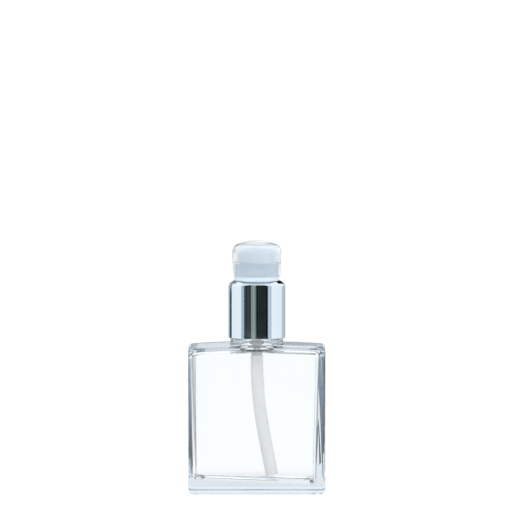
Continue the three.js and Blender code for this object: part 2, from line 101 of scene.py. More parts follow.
def draw(name, corners, steps=8):
    """Draws an outline in the upright X-Z plane, extruding one corner after another, and stays in edit mode."""
    bpy.ops.object.select_all(action="DESELECT")
    bpy.ops.mesh.primitive_plane_add(size=mm, location=(0, 0, 0))
    piece = bpy.context.object
    piece.name = piece.data.name = name
    bpy.ops.object.mode_set(mode="EDIT")
    bpy.ops.mesh.select_mode(type="VERT")
    bpy.ops.mesh.merge(type="CENTER")
    points = [Vector((x, 0, z)) * mm for x, z in rounded(corners, steps)]
    bpy.ops.transform.translate(value=points[0])
    for here, there in zip(points, points[1:]):
        bpy.ops.mesh.extrude_region_move(TRANSFORM_OT_translate={"value": there - here})
    bpy.ops.mesh.select_all(action="SELECT")
    bpy.ops.mesh.remove_doubles(threshold=0.002 * mm)
    return piece


def pick_faces(piece, test):
    """Selects the faces whose centre and normal pass a test."""
    mesh = bmesh.from_edit_mesh(piece.data)
    bpy.ops.mesh.select_all(action="DESELECT")
    bpy.ops.mesh.select_mode(type="FACE")
    for face in mesh.faces:
        face.select_set(test(face.calc_center_median(), face.normal))
    bmesh.update_edit_mesh(piece.data)


def close_up(piece):
    """Merges doubles, turns the faces outwards and leaves edit mode."""
    bpy.ops.mesh.select_all(action="SELECT")
    bpy.ops.mesh.remove_doubles(threshold=0.002 * mm)
    bpy.ops.mesh.normals_make_consistent(inside=False)
    bpy.ops.object.mode_set(mode="OBJECT")
    return piece


def turned(name, corners, sides=128, steps=8):
    """A round piece: an outline spun about the bottle's axis."""
    piece = draw(name, corners, steps)
    bpy.ops.mesh.select_all(action="SELECT")
    bpy.ops.mesh.spin(steps=sides, angle=2 * math.pi, center=(0, 0, 0), axis=(0, 0, 1))
    return close_up(piece)


def slab(name, corners, depth, rounding):
    """A block: an outline extruded from front to back, with rounded rims."""
    piece = draw(name, corners, steps=12)
    bpy.ops.mesh.edge_face_add()
    bpy.ops.transform.translate(value=(0, -depth / 2 * mm, 0))
    bpy.ops.mesh.extrude_region_move(TRANSFORM_OT_translate={"value": (0, depth * mm, 0)})
    bpy.ops.mesh.select_all(action="SELECT")
    bpy.ops.mesh.normals_make_consistent(inside=False)
    pick_faces(piece, lambda centre, normal: abs(normal.y) > 0.9)
    bpy.ops.mesh.region_to_loop()
    bpy.ops.mesh.bevel(offset=rounding * mm, segments=8, profile=0.5, affect="EDGES", clamp_overlap=False)
    return close_up(piece)


def apply_modifier(piece, kind, **settings):
    bpy.context.view_layer.objects.active = piece
    bpy.ops.object.modifier_add(type=kind)
    modifier = piece.modifiers[-1]
    for name, value in settings.items():
        setattr(modifier, name, value)
    bpy.ops.object.modifier_apply(modifier=modifier.name)


def combine(piece, tool, operation):
    """Joins a tool to the piece or cuts it away, throws the tool away and clears slivers off the seam."""
    apply_modifier(piece, "BOOLEAN", object=tool, operation=operation, solver="EXACT")
    bpy.data.objects.remove(tool)
    bpy.ops.object.mode_set(mode="EDIT")
    bpy.ops.mesh.select_all(action="SELECT")
    bpy.ops.mesh.remove_doubles(threshold=0.02 * mm)
    bpy.ops.mesh.dissolve_degenerate(threshold=0.002 * mm)
    bpy.ops.object.mode_set(mode="OBJECT")


def thread(name, root, crest, top, root_width, crest_width, turns=1.5):
    """A screw thread: its section climbs round the axis, and its two ends are closed and sunk in the wall."""
    low, high = top - root_width, top
    inset = (root_width - crest_width) / 2
    section = [(root, low), (crest, low + inset), (crest, high - inset), (root, high), (root, low)]
    piece = draw(name, section)
    bpy.ops.object.mode_set(mode="OBJECT")
    apply_modifier(piece, "SCREW", angle=-2 * math.pi * turns, screw_offset=-thread_pitch * turns * mm,
                   steps=int(64 * turns), render_steps=int(64 * turns), use_merge_vertices=False,
                   use_smooth_shade=False)
    sweep = 2 * math.pi * turns
    for vertex in piece.data.vertices:
        radius = math.hypot(vertex.co.x, vertex.co.y)
        turn = math.atan2(-vertex.co.y, vertex.co.x) % (2 * math.pi)
        drop = (high - root_width / 2 - vertex.co.z / mm) / thread_pitch * 2 * math.pi
        along = turn + 2 * math.pi * round((drop - turn) / (2 * math.pi))
        fade = min(1, 0.1 + max(0, min(along, sweep - along)) / (math.pi / 4))
        target = (root + (radius / mm - root) * fade) * mm
        vertex.co.x *= target / radius
        vertex.co.y *= target / radius
    bpy.context.view_layer.objects.active = piece
    bpy.ops.object.mode_set(mode="EDIT")
    bpy.ops.mesh.select_all(action="SELECT")
    bpy.ops.mesh.region_to_loop()
    bpy.ops.mesh.edge_face_add()
    return close_up(piece)


def smooth(piece, degrees=30, weighted=True):
    """Smooth shading across soft edges. Weighted normals keep the flat faces truly flat."""
    bpy.ops.object.select_all(action="DESELECT")
    piece.select_set(True)
    bpy.context.view_layer.objects.active = piece
    bpy.ops.object.shade_smooth_by_angle(angle=math.radians(degrees))
    if weighted:
        apply_modifier(piece, "WEIGHTED_NORMAL", keep_sharp=True)


def pick_edges(piece, test):
    """Selects the edges whose middle and direction pass a test, with the steepness of the faces beside them."""
    bpy.ops.mesh.select_mode(type="EDGE")
    bpy.ops.mesh.select_all(action="DESELECT")
    mesh = bmesh.from_edit_mesh(piece.data)
    for edge in mesh.edges:
        start, end = (vertex.co for vertex in edge.verts)
        slopes = sorted(abs(face.normal.z) for face in edge.link_faces)
        edge.select_set(test((start + end) / 2 / mm, (end - start).normalized(), slopes))
    bmesh.update_edit_mesh(piece.data)


def block(name, left, right, depth, low, high, upright, foot, rim, rise):
    """A box with its uprights, foot and rim rounded, each by its own radius, and its top crowned in width."""
    bpy.ops.object.select_all(action="DESELECT")
    bpy.ops.mesh.primitive_cube_add(size=1, location=(0, 0, 0))
    piece = bpy.context.object
    piece.name = piece.data.name = name
    bpy.ops.object.mode_set(mode="EDIT")
    bpy.ops.transform.resize(value=Vector((right - left, depth, high - low)) * mm)
    bpy.ops.transform.translate(value=Vector(((left + right) / 2, 0, (low + high) / 2)) * mm)
    for i in range(1, 32):
        bpy.ops.mesh.select_all(action="SELECT")
        cut = left + upright + (right - left - 2 * upright) * i / 32
        bpy.ops.mesh.bisect(plane_co=(cut * mm, 0, 0), plane_no=(1, 0, 0))
    pick_edges(piece, lambda middle, way, slopes: abs(way.z) > 0.9 and not left + 0.1 < middle.x < right - 0.1)
    bpy.ops.mesh.bevel(offset=upright * mm, segments=12, affect="EDGES", clamp_overlap=False)
    for level, radius in ((high, rim), (low, foot)):
        pick_edges(piece, lambda middle, way, slopes: abs(middle.z - level) < 0.01 and slopes[0] < 0.5)
        bpy.ops.mesh.bevel(offset=radius * mm, segments=8, affect="EDGES", clamp_overlap=False)
    mesh = bmesh.from_edit_mesh(piece.data)
    centre, half = (left + right) / 2, (right - left) / 2
    for vertex in mesh.verts:
        if vertex.co.z / mm > (low + high) / 2:
            vertex.co.z += rise * (1 - ((vertex.co.x / mm - centre) / half) ** 2) * mm
    bmesh.update_edit_mesh(piece.data)
    return close_up(piece)


bottle = block("bottle_glass", -half_width, half_width, 2 * half_depth, 0, body_corner, upright_edge, foot_edge,
               rim_edge, crown_rise)
neck = turned("neck", [
    (0, shoulder - 2), (12.4, shoulder - 2), (12.4, shoulder - 0.35), (11.2, shoulder - 0.1, 0.9),
    (11.2, ring_top, 0.6), (thread_root, ring_top, 0.5), (thread_root, neck_rim, 0.5), (bore - 1, neck_rim),
    (0, neck_rim),
])
combine(bottle, neck, "UNION")
combine(bottle, thread("neck_thread", thread_root - 0.3, thread_crest, thread_top, 1.7, 0.9), "UNION")
ceiling = body_corner - ceiling_wall
hollow_left, hollow_right = left_wall - half_width, half_width - right_wall_top
hollow_size = Vector((hollow_right - hollow_left, 2 * (half_depth - face_wall), ceiling - floor_height))
bpy.ops.object.select_all(action="DESELECT")
bpy.ops.mesh.primitive_cube_add(size=1, location=(0, 0, 0))
hollow = bpy.context.object
hollow.name = hollow.data.name = "hollow"
bpy.ops.object.mode_set(mode="EDIT")
# Bevelled while it is squashed, so that the corners' curves come out taller than they are deep.
bpy.ops.transform.resize(value=[size / corner for size, corner in zip(hollow_size, hollow_corner)])
bpy.ops.mesh.bevel(offset=1, segments=10, affect="EDGES", clamp_overlap=False)
bpy.ops.transform.resize(value=hollow_corner * mm)
bpy.ops.transform.translate(value=Vector(((hollow_left + hollow_right) / 2, 0, (floor_height + ceiling) / 2)) * mm)
for way, low, size, cuts in ((0, hollow_left, hollow_size.x, 32), (1, -hollow_size.y / 2, hollow_size.y, 12),
                             (2, floor_height, hollow_size.z, 24)):
    for i in range(1, cuts):
        place, normal = Vector((0, 0, 0)), Vector((0, 0, 0))
        place[way] = (low + hollow_corner[way] + (size - 2 * hollow_corner[way]) * i / cuts) * mm
        normal[way] = 1
        bpy.ops.mesh.select_all(action="SELECT")
        bpy.ops.mesh.bisect(plane_co=place, plane_no=normal)
close_up(hollow)
for vertex in hollow.data.vertices:
    across = (vertex.co.x / mm - hollow_left) / hollow_size.x
    down = (ceiling - vertex.co.z / mm) / hollow_size.z
    front = 0.5 - vertex.co.y / mm / hollow_size.y
    vertex.co.x -= (right_wall_foot - right_wall_top) * down * across ** 2 * mm
    vertex.co.z += crown_rise * (1 - (2 * across - 1) ** 2) * (1 - down) * mm
    vertex.co.z -= floor_fall * front * down ** 2 * across * mm
# A blown hollow is never quite true: its front and back turn against each other by a degree or so.
apply_modifier(hollow, "SIMPLE_DEFORM", deform_method="TWIST", deform_axis="Y", angle=math.radians(1.2))
combine(bottle, hollow, "DIFFERENCE")
mouth = turned("mouth", [
    (0, ceiling - 2), (bore + flare, ceiling - 2), (bore + flare, ceiling - 0.2), (bore, ceiling, flare),
    (bore, neck_rim - 0.4), (bore + 0.5, neck_rim + 0.3), (bore + 0.5, neck_rim + 2), (0, neck_rim + 2),
])
combine(bottle, mouth, "DIFFERENCE")
rim_x, rim_y = half_width - foot_rim, half_depth - foot_rim
recess = slab("recess", [
    (0, -1), (rim_x, -1), (rim_x, 0.02), (rim_x - 1.6, push_up, 3), (0, push_up), (-rim_x + 1.6, push_up, 3),
    (-rim_x, 0.02), (-rim_x, -1), (0, -1),
], 2 * rim_y, 0.55)
combine(bottle, recess, "DIFFERENCE")
smooth(bottle, 35)


def linear(text):
    """An sRGB hex colour as linear values."""
    parts = [int(text[i:i + 2], 16) / 255 for i in (1, 3, 5)]
    return [p / 12.92 if p <= 0.04045 else ((p + 0.055) / 1.055) ** 2.4 for p in parts] + [1]


def new_material(name):
    """An empty material for a real substance."""
    material = bpy.data.materials.new(name)
    material.use_nodes = True
    material.node_tree.nodes.clear()
    return material


def add(material, kind, values=None, **settings):
    """Adds a node with its settings; values gives its sockets, each a plain value or another node's output."""
    tree = material.node_tree
    made = tree.nodes.new(kind)
    for name, value in settings.items():
        setattr(made, name, value)
    for name, value in (values or {}).items():
        if isinstance(value, bpy.types.NodeSocket):
            tree.links.new(value, made.inputs[name])
        else:
            made.inputs[name].default_value = value
    return made


def dress(piece, material, body, slot, *nodes):
    """Gives a piece its material, and says which body it rides on and which nodes it stands for."""
    piece.data.materials.clear()
    piece.data.materials.append(material)
    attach(piece, body)
    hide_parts(*nodes)


# Soda-lime glass: IOR 1.52, a faint blue-grey body colour that shows where light runs far through it,
# and a slow waviness that bends what is seen through it. A film from handling dulls it in patches.
def soda_lime_glass():
    material = new_material("soda_lime_glass")
    place = add(material, "ShaderNodeTexCoord").outputs["Object"]
    waves = add(material, "ShaderNodeTexNoise", {"Vector": place, "Scale": 1 / (14 * mm), "Detail": 1.0})
    bump = add(material, "ShaderNodeBump", {"Height": waves.outputs["Fac"], "Strength": 0.35, "Distance": 0.06 * mm})
    film = add(material, "ShaderNodeTexNoise", {"Vector": place, "Scale": 1 / (6 * mm), "Detail": 4.0})
    dull = add(material, "ShaderNodeMapRange", {"Value": film.outputs["Fac"], "From Min": 0.55, "From Max": 0.8,
                                                "To Min": 0.0, "To Max": 0.035})
    shader = add(material, "ShaderNodeBsdfPrincipled", {
        "Base Color": linear("#fdfefe"), "Roughness": dull.outputs["Result"], "IOR": 1.52,
        "Transmission Weight": 1.0, "Normal": bump.outputs["Normal"],
    })
    body = add(material, "ShaderNodeVolumeAbsorption", {"Color": linear("#93b6cc"), "Density": 17.0})
    add(material, "ShaderNodeOutputMaterial", {"Surface": shader.outputs["BSDF"], "Volume": body.outputs["Volume"]})
    return material


dress(bottle, soda_lime_glass(), "bottle", "bottle_glass", "glass_bottle")


# ---- Neck gasket ----
# A die-cut washer of expanded polyethylene foam between the glass rim and the pump's flange.
gasket_low, gasket_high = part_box("neck_gasket")
gasket_outer, gasket_base, gasket_top = gasket_high.x / mm, gasket_low.z / mm, gasket_high.z / mm
gasket = turned("gasket_foam", [
    (bore, gasket_base + 0.5), (bore, gasket_base, 0.1), (gasket_outer, gasket_base, 0.1),
    (gasket_outer, gasket_top, 0.1), (bore, gasket_top, 0.1), (bore, gasket_base + 0.5),
], steps=3)
smooth(gasket)


# Polyethylene foam: matt, off-white, with closed cells about 0.3 mm across that dimple the surface. Its colour
# carries painted shade in the dimples.
def foam():
    material = new_material("expanded_polyethylene_foam")
    place = add(material, "ShaderNodeTexCoord").outputs["Object"]
    cells = add(material, "ShaderNodeTexVoronoi", {"Vector": place, "Scale": 1 / (0.3 * mm)})
    bump = add(material, "ShaderNodeBump", {"Height": cells.outputs["Distance"], "Strength": 0.5,
                                            "Distance": 0.05 * mm})
    # Painted shade: the colour is darker at the middle of each cell, where the bump sinks the dimple.
    tint = add(material, "ShaderNodeMix", {"Factor": cells.outputs["Distance"], "A": linear("#d9dcdc"),
                                           "B": linear("#eff1f1")}, data_type="RGBA")
    shader = add(material, "ShaderNodeBsdfPrincipled", {
        "Base Color": tint.outputs["Result"], "Roughness": 0.8, "Normal": bump.outputs["Normal"]})
    add(material, "ShaderNodeOutputMaterial", {"Surface": shader.outputs["BSDF"]})
    return material


dress(gasket, foam(), "pump_engine", "gasket_foam", "neck_gasket")


# ---- Pump housing ----
# The pump's cylinder, injection moulded in natural polypropylene. Its flange is clamped on the gasket, three
# nibs keep the ball in the chamber below the spring, and the dip tube is pushed over its barbless spigot.
housing_low, housing_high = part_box("pump_housing")
flange_radius, flange_top, spigot_end = housing_high.x / mm, housing_high.z / mm, housing_low.z / mm
barrel, barrel_bore = 5.6, 4.5
chamber, throat, tail, tail_bore, spigot = 2.2, 0.9, 2.2, 1.2, 1.95
spring_seat = flange_top - 14.4
ball_seat = spring_seat - 2.8
cone_foot = ball_seat - (chamber - throat)
tube_top = spring_seat - 7.8


def through_hole(piece, radius, centre, length, turn):
    """Drills a round hole across a piece."""
    bpy.ops.object.select_all(action="DESELECT")
    bpy.ops.mesh.primitive_cylinder_add(vertices=48, radius=radius * mm, depth=length * mm,
                                        location=Vector(centre) * mm, rotation=turn)
    combine(piece, bpy.context.object, "DIFFERENCE")


def ring_of_blocks(name, count, inner, outer, low, high, width):
    """One small block with softened edges, copied round the axis."""
    bpy.ops.object.select_all(action="DESELECT")
    bpy.ops.mesh.primitive_cube_add(size=1, location=(0, 0, 0))
    piece = bpy.context.object
    piece.name = piece.data.name = name
    bpy.ops.object.mode_set(mode="EDIT")
    bpy.ops.transform.resize(value=((outer - inner) * mm, width * mm, (high - low) * mm))
    bpy.ops.transform.translate(value=Vector(((inner + outer) / 2, 0, (low + high) / 2)) * mm)
    bpy.ops.mesh.bevel(offset=0.05 * mm, segments=2, affect="EDGES")
    bpy.ops.mesh.select_all(action="SELECT")
    bpy.ops.mesh.spin(steps=count, angle=2 * math.pi, center=(0, 0, 0), axis=(0, 0, 1), dupli=True)
    return close_up(piece)


housing = turned("pump_barrel", [
    (throat, cone_foot), (throat, cone_foot - 0.5), (tail_bore, cone_foot - 0.9), (tail_bore, spigot_end),
    (spigot - 0.2, spigot_end), (spigot, spigot_end + 0.5), (spigot, tube_top), (tail, tube_top, 0.08),
    (tail, cone_foot - 0.9, 0.8), (chamber + 1, ball_seat, 0.6), (chamber + 1, spring_seat - 1.6, 0.5),
    (barrel, spring_seat - 0.4, 0.6), (barrel, gasket_top, 0.3), (flange_radius, gasket_top, 0.2),
    (flange_radius, flange_top, 0.25), (barrel_bore, flange_top, 0.2), (barrel_bore, spring_seat, 0.15),
    (chamber, spring_seat, 0.15), (chamber, ball_seat), (throat, cone_foot),
], steps=4)
combine(housing, ring_of_blocks("ball_nibs", 3, 1.1, chamber + 0.3, spring_seat - 0.6, spring_seat, 0.8), "UNION")
through_hole(housing, 0.4, (-barrel, 0, flange_top - 5.2), 3, (0, math.pi / 2, 0))
smooth(housing)


# Natural polypropylene: milky and see-through, satin from a fine spark-eroded mould whose 0.05 mm grain is
# drawn at 0.25 mm so that it shows, with faint clouds where the melt cooled at different rates.
def natural_polypropylene(name, tint, clarity, gloss, milk=0.35, grain=0.25):
    material = new_material(name)
    place = add(material, "ShaderNodeTexCoord").outputs["Object"]
    grains = add(material, "ShaderNodeTexNoise", {"Vector": place, "Scale": 1 / (grain * mm), "Detail": 2.0})
    clouds = add(material, "ShaderNodeTexNoise", {"Vector": place, "Scale": 1 / (7 * mm), "Detail": 3.0})
    bump = add(material, "ShaderNodeBump", {"Height": grains.outputs["Fac"], "Strength": 0.25,
                                            "Distance": 0.02 * mm})
    colour = add(material, "ShaderNodeMix", {
        "Factor": clouds.outputs["Fac"], "A": linear(tint),
        "B": [value * 0.97 for value in linear(tint)[:3]] + [1]}, data_type="RGBA")
    dull = add(material, "ShaderNodeMapRange", {"Value": clouds.outputs["Fac"], "From Min": 0.3, "From Max": 0.7,
                                                "To Min": gloss - 0.04, "To Max": gloss + 0.05})
    shader = add(material, "ShaderNodeBsdfPrincipled", {
        "Base Color": colour.outputs["Result"], "Roughness": dull.outputs["Result"], "IOR": 1.49,
        "Transmission Weight": clarity, "Subsurface Weight": milk, "Subsurface Radius": (0.0015, 0.0015, 0.0016),
        "Subsurface Scale": 1.0, "Normal": bump.outputs["Normal"]})
    add(material, "ShaderNodeOutputMaterial", {"Surface": shader.outputs["BSDF"]})
    return material


dress(housing, natural_polypropylene("natural_polypropylene", "#fbfdfe", 0.2, 0.24, 0.7), "pump_engine",
      "housing_plastic", "pump_housing")


# ---- Stem retainer ----
# A stepped ring of white polypropylene snapped in the top of the housing. Its hole guides the stem, and its
# lower face stops the stem's flange.
retainer_low, retainer_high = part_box("stem_retainer")
retainer_foot, retainer_top = retainer_low.z / mm, retainer_high.z / mm
retainer_flange = retainer_high.x / mm
stem, slide_gap = 2.0, 0.06
retainer = turned("retaining_ring", [
    (stem + slide_gap, (retainer_foot + retainer_top) / 2), (stem + slide_gap, retainer_foot, 0.15),
    (barrel_bore - slide_gap - 0.3, retainer_foot), (barrel_bore - slide_gap, retainer_foot + 0.4),
    (barrel_bore - slide_gap, flange_top), (retainer_flange, flange_top, 0.1),
    (retainer_flange, retainer_top, 0.25), (stem + slide_gap, retainer_top, 0.2),
    (stem + slide_gap, (retainer_foot + retainer_top) / 2),
], sides=96, steps=3)
smooth(retainer)


# White polypropylene: pigmented, so almost no light gets through, with a satin skin off the mould. Faint
# flow marks a few millimetres long vary its gloss.
def white_polypropylene(name, tint, gloss):
    material = new_material(name)
    place = add(material, "ShaderNodeTexCoord").outputs["Object"]
    grains = add(material, "ShaderNodeTexNoise", {"Vector": place, "Scale": 1 / (0.3 * mm), "Detail": 3.0})
    flow = add(material, "ShaderNodeTexNoise", {"Vector": place, "Scale": 1 / (4 * mm), "Detail": 2.0,
                                                "Distortion": 0.8})
    bump = add(material, "ShaderNodeBump", {"Height": grains.outputs["Fac"], "Strength": 0.2,
                                            "Distance": 0.02 * mm})
    colour = add(material, "ShaderNodeMix", {
        "Factor": flow.outputs["Fac"], "A": linear(tint),
        "B": [value * 0.95 for value in linear(tint)[:3]] + [1]}, data_type="RGBA")
    dull = add(material, "ShaderNodeMapRange", {"Value": flow.outputs["Fac"], "From Min": 0.3, "From Max": 0.7,
                                                "To Min": gloss - 0.04, "To Max": gloss + 0.06})
    shader = add(material, "ShaderNodeBsdfPrincipled", {
        "Base Color": colour.outputs["Result"], "Roughness": dull.outputs["Result"], "IOR": 1.49,
        "Subsurface Weight": 0.25, "Subsurface Radius": (0.0012, 0.0012, 0.0013), "Subsurface Scale": 1.0,
        "Normal": bump.outputs["Normal"]})
    add(material, "ShaderNodeOutputMaterial", {"Surface": shader.outputs["BSDF"]})
    return material


stem_white = white_polypropylene("white_polypropylene", "#eef2f4", 0.34)
dress(retainer, stem_white, "pump_engine", "stem_plastic", "stem_retainer")


# ---- Pump stem and its plug ----
# A hollow stem of white polypropylene that carries the button. A plug with a round foot and a square shank is
# pressed in from below: the square leaves channels in the bore, which a cross hole feeds.
stem_low, stem_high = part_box("pump_stem")
foot_low, foot_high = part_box("stem_plug")
stem_foot, stem_top = stem_low.z / mm, stem_high.z / mm
stem_bore = 1.1
piston_height, stem_flange_thickness = 2.8, 0.9
piston_top = stem_foot + piston_height
stem_flange = barrel_bore - 1.1
stem_tube = turned("stem_tube", [
    (stem_bore, 80), (stem_bore, stem_foot), (stem, stem_foot), (stem, piston_top),
    (stem_flange, piston_top, 0.1), (stem_flange, piston_top + stem_flange_thickness, 0.2),
    (stem, piston_top + stem_flange_thickness, 0.15), (stem, stem_top - 0.3), (stem - 0.3, stem_top),
    (stem_bore, stem_top, 0.1), (stem_bore, 80),
], sides=96, steps=3)
through_hole(stem_tube, 0.45, (0, 0, stem_foot + piston_height / 2), 6, (0, math.pi / 2, 0))
smooth(stem_tube)
dress(stem_tube, stem_white, "stem", "stem_plastic", "pump_stem")

foot_radius, foot_base, foot_top = foot_high.x / mm, foot_low.z / mm, foot_low.z / mm + 0.9
plug = turned("stem_foot", [
    (0, foot_base), (foot_radius, foot_base, 0.2), (foot_radius, foot_top, 0.15), (0, foot_top),
], sides=96, steps=3)
shank = ring_of_blocks("shank", 1, -0.7, 0.7, foot_base + 0.4, foot_high.z / mm, 1.4)
combine(plug, shank, "UNION")
smooth(plug)
dress(plug, stem_white, "stem", "stem_plastic", "stem_plug")


# ---- Piston seal ----
# A soft double-lipped piston of natural low-density polyethylene on the stem, pinched between the flange and
# the foot. Its two lips wipe the barrel.
piston_low, piston_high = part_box("piston_seal")
lip, lip_foot, lip_top = piston_high.x / mm, stem_foot, piston_top
web = lip - 0.7
middle = (lip_foot + lip_top) / 2
piston = turned("piston_cup", [
    (stem + slide_gap, middle), (stem + slide_gap, lip_foot), (web - 0.5, lip_foot), (web, middle - 0.5, 0.2),
    (lip - 0.3, lip_foot - 0.3), (lip, lip_foot, 0.1), (lip - 0.2, middle, 1.5), (lip, lip_top, 0.1),
    (lip - 0.3, lip_top + 0.3), (web, middle + 0.5, 0.2), (web - 0.5, lip_top), (stem + slide_gap, lip_top),
    (stem + slide_gap, middle),
], sides=96, steps=4)
smooth(piston)
dress(piston, natural_polypropylene("low_density_polyethylene", "#e3e8ea", 0.3, 0.38), "stem",
      "piston_plastic", "piston_seal")


# ---- Return spring ----
# Stainless spring wire, 0.6 mm, wound in four and a half turns with a closed turn at each end. It stands
# on the housing's seat under the stem's foot. The real spring shortens as the button goes down; this mesh
# keeps its resting length.
wire, spring_turns, coil_radius = 0.6, 4.5, barrel_bore - 0.9
spring_top = foot_base
dead = 0.75 / spring_turns
end_rise = wire * 1.1 * 0.75


def coil_point(share):
    """A point along the wire: closed turns at the two ends and an even climb between."""
    turn = share * spring_turns * 2 * math.pi
    climb = min(max((share - dead) / (1 - 2 * dead), 0), 1)
    ends = (min(share / dead, 1) + max((share - 1 + dead) / dead, 0)) * end_rise
    travel = spring_top - spring_seat - wire - 2 * end_rise
    height = spring_seat + wire / 2 + ends + climb * travel
    return Vector((coil_radius * math.cos(turn), coil_radius * math.sin(turn), height)) * mm


def wire_along(name, points, radius):
    """A round bar along a line of points, with capped ends, as a mesh."""
    bpy.ops.object.select_all(action="DESELECT")
    bpy.ops.curve.primitive_nurbs_path_add(location=(0, 0, 0))
    piece = bpy.context.object
    piece.name = piece.data.name = name
    piece.data.splines.clear()
    line = piece.data.splines.new("POLY")
    line.points.add(len(points) - 1)
    for point, place in zip(line.points, points):
        point.co = (*place, 1)
    piece.data.bevel_depth = radius * mm
    piece.data.bevel_resolution = 5
    piece.data.use_fill_caps = True
    bpy.ops.object.convert(target="MESH")
    bpy.ops.object.mode_set(mode="EDIT")
    return close_up(piece)


spring = wire_along("coil_spring", [coil_point(i / 180) for i in range(181)], wire / 2)
smooth(spring, 40)


# Stainless spring wire: a cold-drawn grey steel. The die leaves fine scratches, drawn 0.08 mm apart.
def stainless_wire():
    material = new_material("stainless_spring_wire")
    place = add(material, "ShaderNodeTexCoord").outputs["Object"]
    scratches = add(material, "ShaderNodeTexNoise", {"Vector": place, "Scale": 1 / (0.08 * mm), "Detail": 3.0})
    bump = add(material, "ShaderNodeBump", {"Height": scratches.outputs["Fac"], "Strength": 0.2,
                                            "Distance": 0.01 * mm})
    dull = add(material, "ShaderNodeMapRange", {"Value": scratches.outputs["Fac"], "To Min": 0.2, "To Max": 0.38})
    shader = add(material, "ShaderNodeBsdfPrincipled", {
        "Base Color": linear("#bfc1c1"), "Metallic": 1.0, "Roughness": dull.outputs["Result"],
        "Normal": bump.outputs["Normal"]})
    add(material, "ShaderNodeOutputMaterial", {"Surface": shader.outputs["BSDF"]})
    return material


dress(spring, stainless_wire(), "pump_engine", "spring_steel", "return_spring")
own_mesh(spring)


# ---- Inlet ball ----
# A 3 mm ground steel ball, the pump's inlet valve, loose on the cone in the bottom of the chamber.
ball_low, ball_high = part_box("inlet_ball")
ball_radius = 1.5
ball_middle = (ball_low.z + ball_high.z) / 2 / mm
arc_points = [(ball_radius * math.cos(math.radians(angle)), ball_middle + ball_radius * math.sin(math.radians(angle)))
              for angle in range(-85, 90, 5)]
ball = turned("check_ball", [(0, ball_middle - ball_radius), *arc_points, (0, ball_middle + ball_radius)], sides=72)
smooth(ball, 40)


# Ground and lapped steel: near mirror, with the finest of swirls.
def lapped_steel():
    material = new_material("lapped_ball_steel")
    place = add(material, "ShaderNodeTexCoord").outputs["Object"]
    swirls = add(material, "ShaderNodeTexNoise", {"Vector": place, "Scale": 1 / (0.4 * mm), "Detail": 4.0,
                                                  "Distortion": 1.5})
    dull = add(material, "ShaderNodeMapRange", {"Value": swirls.outputs["Fac"], "To Min": 0.06, "To Max": 0.16})
    shader = add(material, "ShaderNodeBsdfPrincipled", {
        "Base Color": linear("#c6c8c9"), "Metallic": 1.0, "Roughness": dull.outputs["Result"]})
    add(material, "ShaderNodeOutputMaterial", {"Surface": shader.outputs["BSDF"]})
    return material


dress(ball, lapped_steel(), "inlet_valve", "ball_steel", "inlet_ball")


# ---- Dip tube ----
# Extruded natural polyethylene, 5.2 mm outside, cut square and pushed over the spigot. It came off a reel,
# so it keeps a bend and leans towards the right near the floor.
tube_low, tube_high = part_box("dip_tube")
tube_outer, tube_inner = 2.6, 2.05
tube_foot = floor_height + 0.9
foot_offset, foot_slope, foot_reach, top_reach = 6.4, 0.19, 17, 22
bends = [Vector((0, 0, tube_top)), Vector((0, 0, tube_top - top_reach)),
         Vector((foot_offset - foot_slope * foot_reach, 0, tube_foot + foot_reach)),
         Vector((foot_offset, 0, tube_foot))]


def bezier(points, share):
    """A point of a cubic curve."""
    a, b, c, d = points
    rest = 1 - share
    return a * rest ** 3 + b * 3 * rest ** 2 * share + c * 3 * rest * share ** 2 + d * share ** 3


def hose_along(name, points, outer, inner):
    """An open tube along a line of points, with its wall inside the outer radius."""
    bpy.ops.object.select_all(action="DESELECT")
    bpy.ops.curve.primitive_nurbs_path_add(location=(0, 0, 0))
    piece = bpy.context.object
    piece.name = piece.data.name = name
    piece.data.splines.clear()
    line = piece.data.splines.new("POLY")
    line.points.add(len(points) - 1)
    for point, place in zip(line.points, points):
        point.co = (*place, 1)
    piece.data.bevel_depth = outer * mm
    piece.data.bevel_resolution = 14
    piece.data.use_fill_caps = False
    bpy.ops.object.convert(target="MESH")
    bpy.ops.object.mode_set(mode="EDIT")
    close_up(piece)
    apply_modifier(piece, "SOLIDIFY", thickness=(outer - inner) * mm, offset=-1, use_even_offset=True)
    return piece


tube = hose_along("suction_tube", [bezier(bends, i / 72) * mm for i in range(73)], tube_outer, tube_inner)
smooth(tube, 40)
dress(tube, natural_polypropylene("extruded_polyethylene", "#ffffff", 0.0, 0.3, 0.0, 0.4), "pump_engine",
      "tube_plastic", "dip_tube")


# ---- Screw closure ----
# Natural polypropylene in one moulding: a threaded skirt that clamps the pump on the glass, a deck, and a
# sleeve that stands up through the shell to guide the button and carry the hood. Ribs grip the shell.
closure_low, closure_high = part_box("screw_closure")
skirt_foot, sleeve_top = closure_low.z / mm, closure_high.z / mm
closure_root, skirt = thread_crest + 0.25, thread_crest + 1.5
deck_top = flange_top + 1.8
deck_hole = retainer_flange + 0.3
sleeve, sleeve_wall = 9.5, 1.0
closure = turned("threaded_closure", [
    (closure_root, (skirt_foot + flange_top) / 2), (closure_root, skirt_foot, 0.15), (skirt, skirt_foot, 0.15),
    (skirt, deck_top, 0.5), (sleeve, deck_top, 0.25), (sleeve, sleeve_top, 0.3),
    (sleeve - sleeve_wall, sleeve_top, 0.15), (sleeve - sleeve_wall, deck_top, 0.2), (deck_hole, deck_top, 0.15),
    (deck_hole, flange_top, 0.1), (closure_root, flange_top, 0.2), (closure_root, (skirt_foot + flange_top) / 2),
], steps=4)
inner_thread = thread("closure_thread", closure_root + 0.3, thread_root + 0.25, thread_top - thread_pitch / 2,
                      1.5, 0.8)
combine(closure, inner_thread, "UNION")
ribs = ring_of_blocks("grip_ribs", 24, skirt - 0.4, skirt + 0.12, skirt_foot + 1, deck_top - 1, 0.5)
combine(closure, ribs, "UNION")
smooth(closure)
